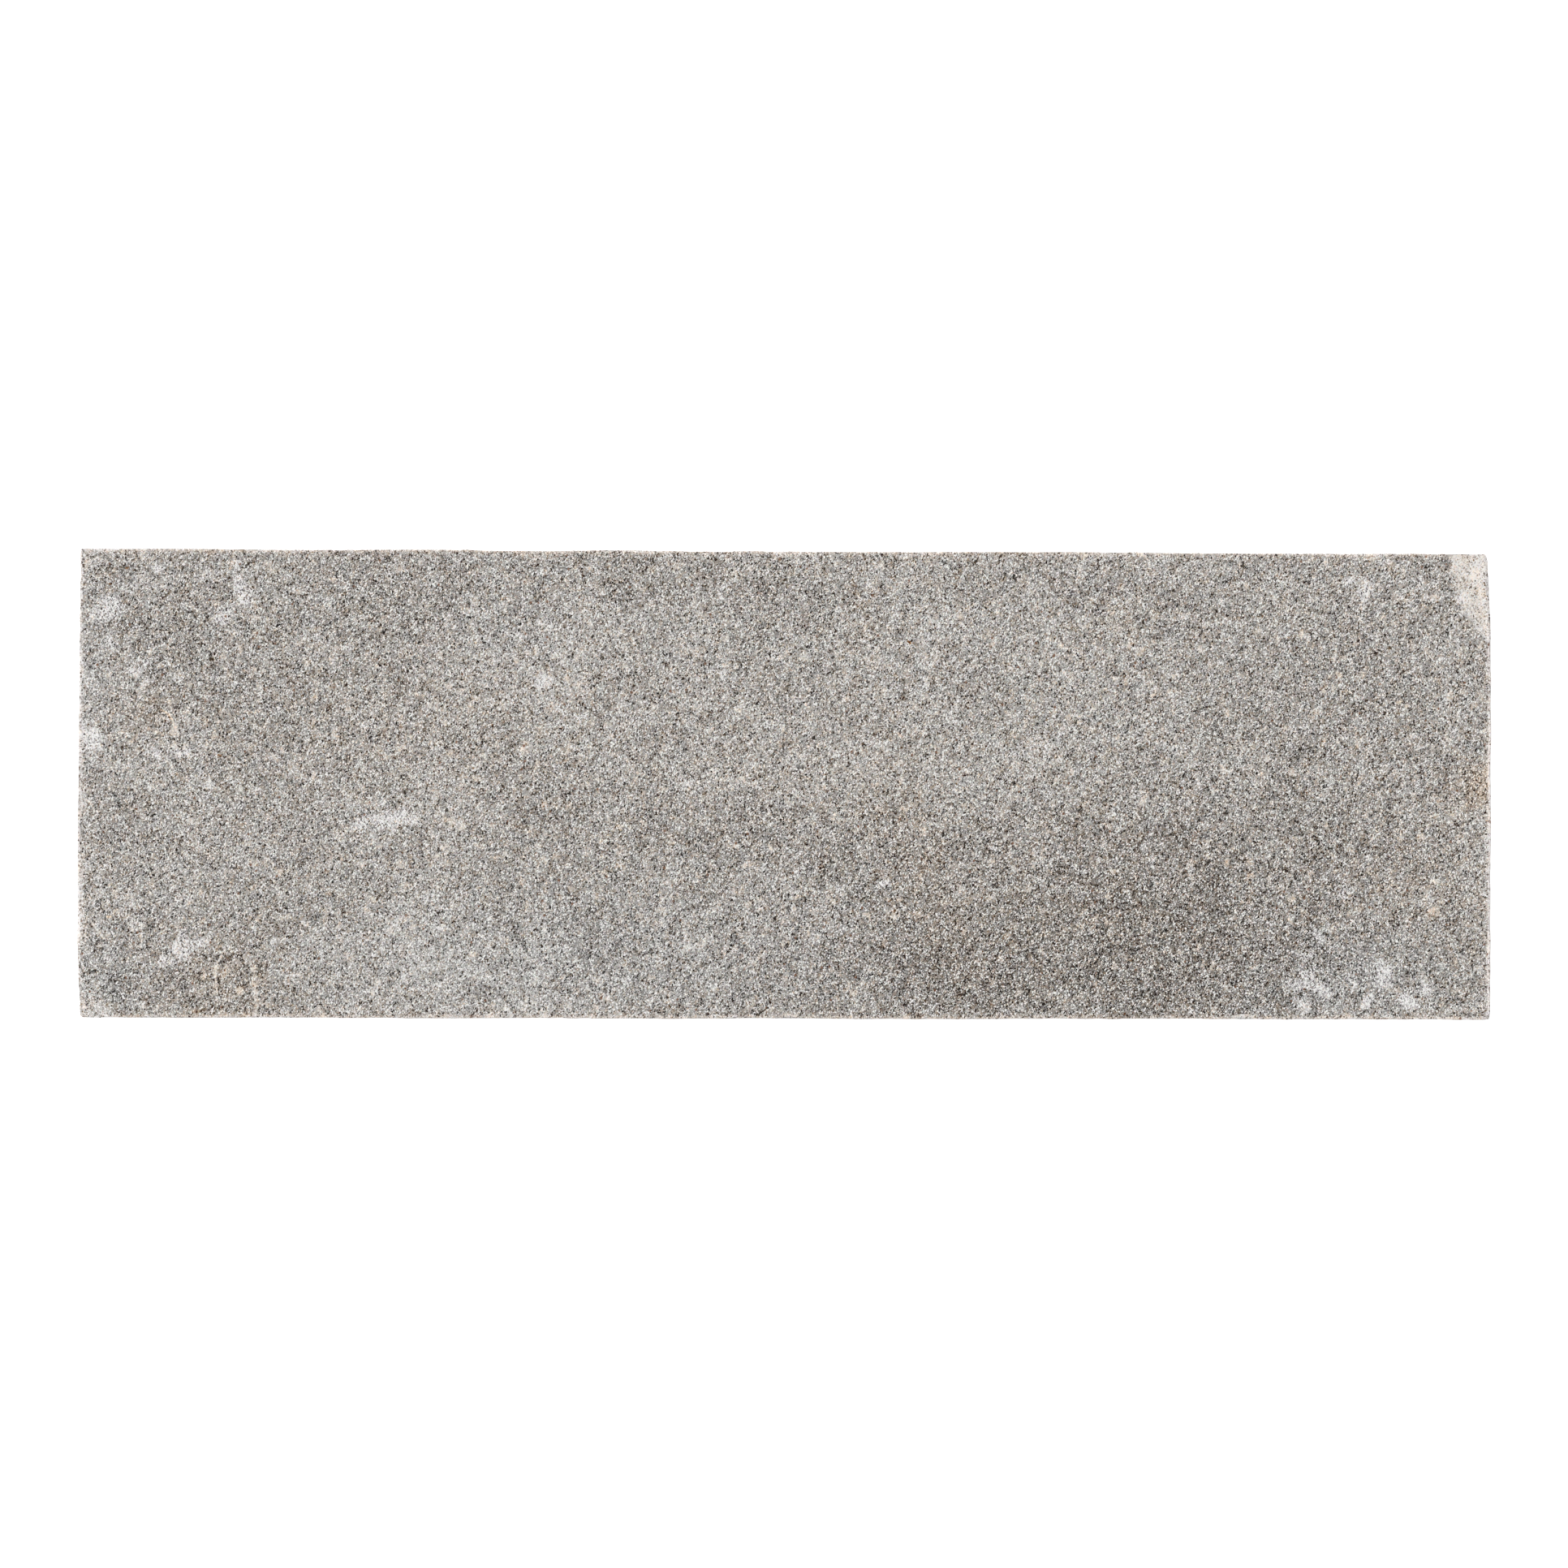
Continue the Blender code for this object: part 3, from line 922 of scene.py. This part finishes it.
def stone_tone(graph, pattern):
    """The stone's tone with all its marks and its painted glow. Fresh breaks, the painted glow along the
    arrises and flecks are the palest.
    """
    tone = split_tone(graph, pattern)
    tone = graph.total(
        graph.times(tone, pattern.split),
        graph.times(sawn_tone(graph, pattern, tone), graph.less(1.0, pattern.split)),
    )
    tone = graph.bleach(tone, graph.times(pattern.crumb, 0.88), CRUMB_TONE, 0.40)
    scuff_core = graph.ramp(graph.mask("scuffed"), 0.55, 0.95, 0.0, SCUFF_CORE_PALING)
    tone = graph.total(tone, graph.times(pattern.scuff, SCUFF_PALING), scuff_core)
    tone = graph.bleach(tone, graph.times(pattern.fresh, 0.93), BREAK_TONE, 0.80)
    tone = graph.total(tone, graph.times(graph.mask("break_edge"), BREAK_EDGE_PALING))
    unbroken = graph.less(1.0, graph.times(pattern.fresh, 0.45))
    # Painted glow along the arrises: pale light wrapping round them, less where the stone is freshly broken
    tone = graph.bleach(tone, graph.times(pattern.rim_glow, unbroken), RIM_GLOW_TONE, 0.90)
    tone = graph.bleach(tone, graph.times(pattern.fleck, 0.95), FLECK_TONE, 0.15)
    # Thin lines, pale and dark: partly painted highlight and shadow at ridges, flake edges and a crack
    tone = graph.bleach(tone, pattern.bleached, LINE_TONE, 0.18)
    tone = graph.times(tone, graph.less(1.0, pattern.darkened, clamp=True))
    return graph.math("MINIMUM", graph.math("MAXIMUM", tone, DARKEST), PALEST)


def stone_warmth(graph, pattern, tone):
    """Warm against cool: cream and tan grains beside blue-grey ones."""
    fine, coarse, speck = pattern.fine, pattern.coarse, pattern.speck
    dark = graph.ramp(coarse[0], 0.0, 0.14, BROWN_GRAIN_WARMTH, 0.0)
    grain_warmth = graph.total(
        graph.spread(fine[1], 0.5, FINE_WARMTH),
        graph.ramp(coarse[1], 0.70, 1.0, 0.0, TAN_GRAIN_WARMTH),
        graph.ramp(speck[1], 0.75, 1.0, 0.0, TAN_SPECK_WARMTH),
        graph.times(dark, graph.ramp(coarse[2], 0.4, 0.8)),
    )
    elsewhere = graph.vector("ADD", pattern.place, (40, 0, 0))
    # The grains' warmth fades under the painted glow along the arrises, which adds a warmth of its own
    warmth = graph.total(
        MEAN_WARMTH,
        graph.times(grain_warmth, graph.less(1.0, graph.times(pattern.rim_glow, 0.6))),
        graph.spread(graph.noise(elsewhere, HUE_PATCH, 3.0, 0.65), 0.5, HUE_CHANGE),
        graph.mask("warm_cloud"),
        pattern.line_warmth,
        graph.times(pattern.crumb, CRUMB_WARMTH),
        graph.times(pattern.fresh, BREAK_WARMTH),
        graph.times(pattern.scuff, SCUFF_WARMTH),
        graph.times(pattern.rim_glow, RIM_GLOW_WARMTH),
        graph.times(graph.mask("painted_rim_warmth"), RIM_GLOW_EXTRA_WARMTH),
        graph.spread(tone, TONE_CENTRE, -0.030),
        graph.ramp(tone, 0.76, 0.97, 0.0, -0.012),
    )
    return graph.math("MAXIMUM", warmth, LEAST_WARMTH)


def stone_colour(graph, pattern):
    """The stone's colour as the eye sees it, with a few rust-brown grains."""
    tone = stone_tone(graph, pattern)
    warmth = stone_warmth(graph, pattern, tone)
    green = graph.total(
        tone,
        graph.spread(pattern.fine[2], 0.5, 0.026),
        graph.spread(pattern.coarse[2], 0.5, 0.014),
        graph.spread(pattern.speck[2], 0.5, 0.010),
        graph.times(pattern.rim_glow, -0.006),
        graph.times(pattern.scuff, -0.005),
    )
    plain = graph.colour(graph.math("ADD", tone, warmth), green, graph.less(tone, warmth))
    rust_cells = graph.cells(pattern.ragged, RUST)
    rust_core = graph.ramp(rust_cells.outputs["Distance"], 0.10, 0.23, 1.0, 0.0)
    rust = graph.times(rust_core, graph.ramp(graph.draws(rust_cells)[1], 0.86, 0.95))
    return graph.blend(graph.times(rust, 0.80), plain, RUST_COLOUR)


def stone_grit(graph, pattern):
    """The height of single grains above and below the skin, which is lower on sawn faces."""
    grit = graph.total(
        graph.times(pattern.fine[0], 0.45),
        graph.times(pattern.coarse[0], 0.40),
        graph.times(pattern.clump, 1.3),
    )
    return graph.times(grit, graph.math("ADD", SAWN_GRIT, graph.times(pattern.split, 1 - SAWN_GRIT)))


def sandstone():
    material = bpy.data.materials.new("grey_sandstone")
    material.use_nodes = True
    shader = material.node_tree.nodes["Principled BSDF"]
    graph = Graph(material.node_tree)
    pattern = Pattern(graph)

    seen = stone_colour(graph, pattern)
    albedo = graph.add("ShaderNodeGamma", {"Color": seen, "Gamma": GAMMA}).outputs[0]
    graph.feed(shader.inputs["Base Color"], albedo)
    rough = graph.total(0.80, graph.spread(pattern.fine[2], 0.5, -0.30), graph.times(pattern.rim_glow, 0.08))
    graph.feed(shader.inputs["Roughness"], graph.math("MINIMUM", rough, 0.97))
    shader.inputs["Specular IOR Level"].default_value = 0.35
    bump = {"Height": stone_grit(graph, pattern), "Strength": 0.8, "Distance": GRIT_HEIGHT * MM}
    graph.feed(shader.inputs["Normal"], graph.add("ShaderNodeBump", bump).outputs[0])
    return material


# ---------------------------------------------------------------- studio

def floor_material():
    material = bpy.data.materials.new("white_floor")
    material.use_nodes = True
    shader = material.node_tree.nodes["Principled BSDF"]
    shader.inputs["Base Color"].default_value = FLOOR_COLOUR
    shader.inputs["Roughness"].default_value = 0.9
    shader.inputs["Specular IOR Level"].default_value = 0.0
    shader.inputs["Emission Color"].default_value = (1, 1, 1, 1)
    shader.inputs["Emission Strength"].default_value = FLOOR_GLOW
    return material


def build_floor():
    bpy.ops.mesh.primitive_plane_add(size=FLOOR_SIZE, location=(0, 0, -FLOOR_GAP))
    floor = bpy.context.object
    floor.name = "floor"
    floor.data.materials.append(floor_material())


def build_key_light():
    key = bpy.data.lights.new("key", "SUN")
    key.energy = KEY_STRENGTH
    key.angle = radians(KEY_SOFTNESS)
    key.color = KEY_COLOUR
    lamp = bpy.data.objects.new("key", key)
    lamp.rotation_euler = Vector(KEY_FROM).to_track_quat("Z", "Y").to_euler()
    bpy.context.scene.collection.objects.link(lamp)


def build_world():
    """An even white world, which is brighter to the camera than to the stone."""
    world = bpy.data.worlds.new("studio")
    bpy.context.scene.world = world
    world.use_nodes = True
    graph = Graph(world.node_tree)
    background = world.node_tree.nodes["Background"]
    background.inputs["Color"].default_value = (1, 1, 1, 1)
    eye = graph.add("ShaderNodeLightPath").outputs["Is Camera Ray"]
    strength = graph.math("ADD", WORLD_STRENGTH, graph.times(eye, WORLD_SEEN - WORLD_STRENGTH))
    graph.feed(background.inputs["Strength"], strength)


def build_camera():
    low, high = cad_bounds
    camera = bpy.data.cameras.new("camera")
    camera.lens = LENS
    camera.sensor_width = SENSOR
    distance = PICTURE_WIDTH * MM * LENS / SENSOR
    above = high[2] - PICTURE_LEVEL * MM + distance
    holder = bpy.data.objects.new("camera", camera)
    holder.location = ((low[0] + high[0]) / 2, (low[1] + high[1]) / 2, above)
    bpy.context.scene.collection.objects.link(holder)
    bpy.context.scene.camera = holder


bpy.context.scene.view_settings.view_transform = "Standard"
build_camera()
build_key_light()
build_world()
build_floor()
stone = build_stone()
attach(stone, "root")
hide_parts(STONE)
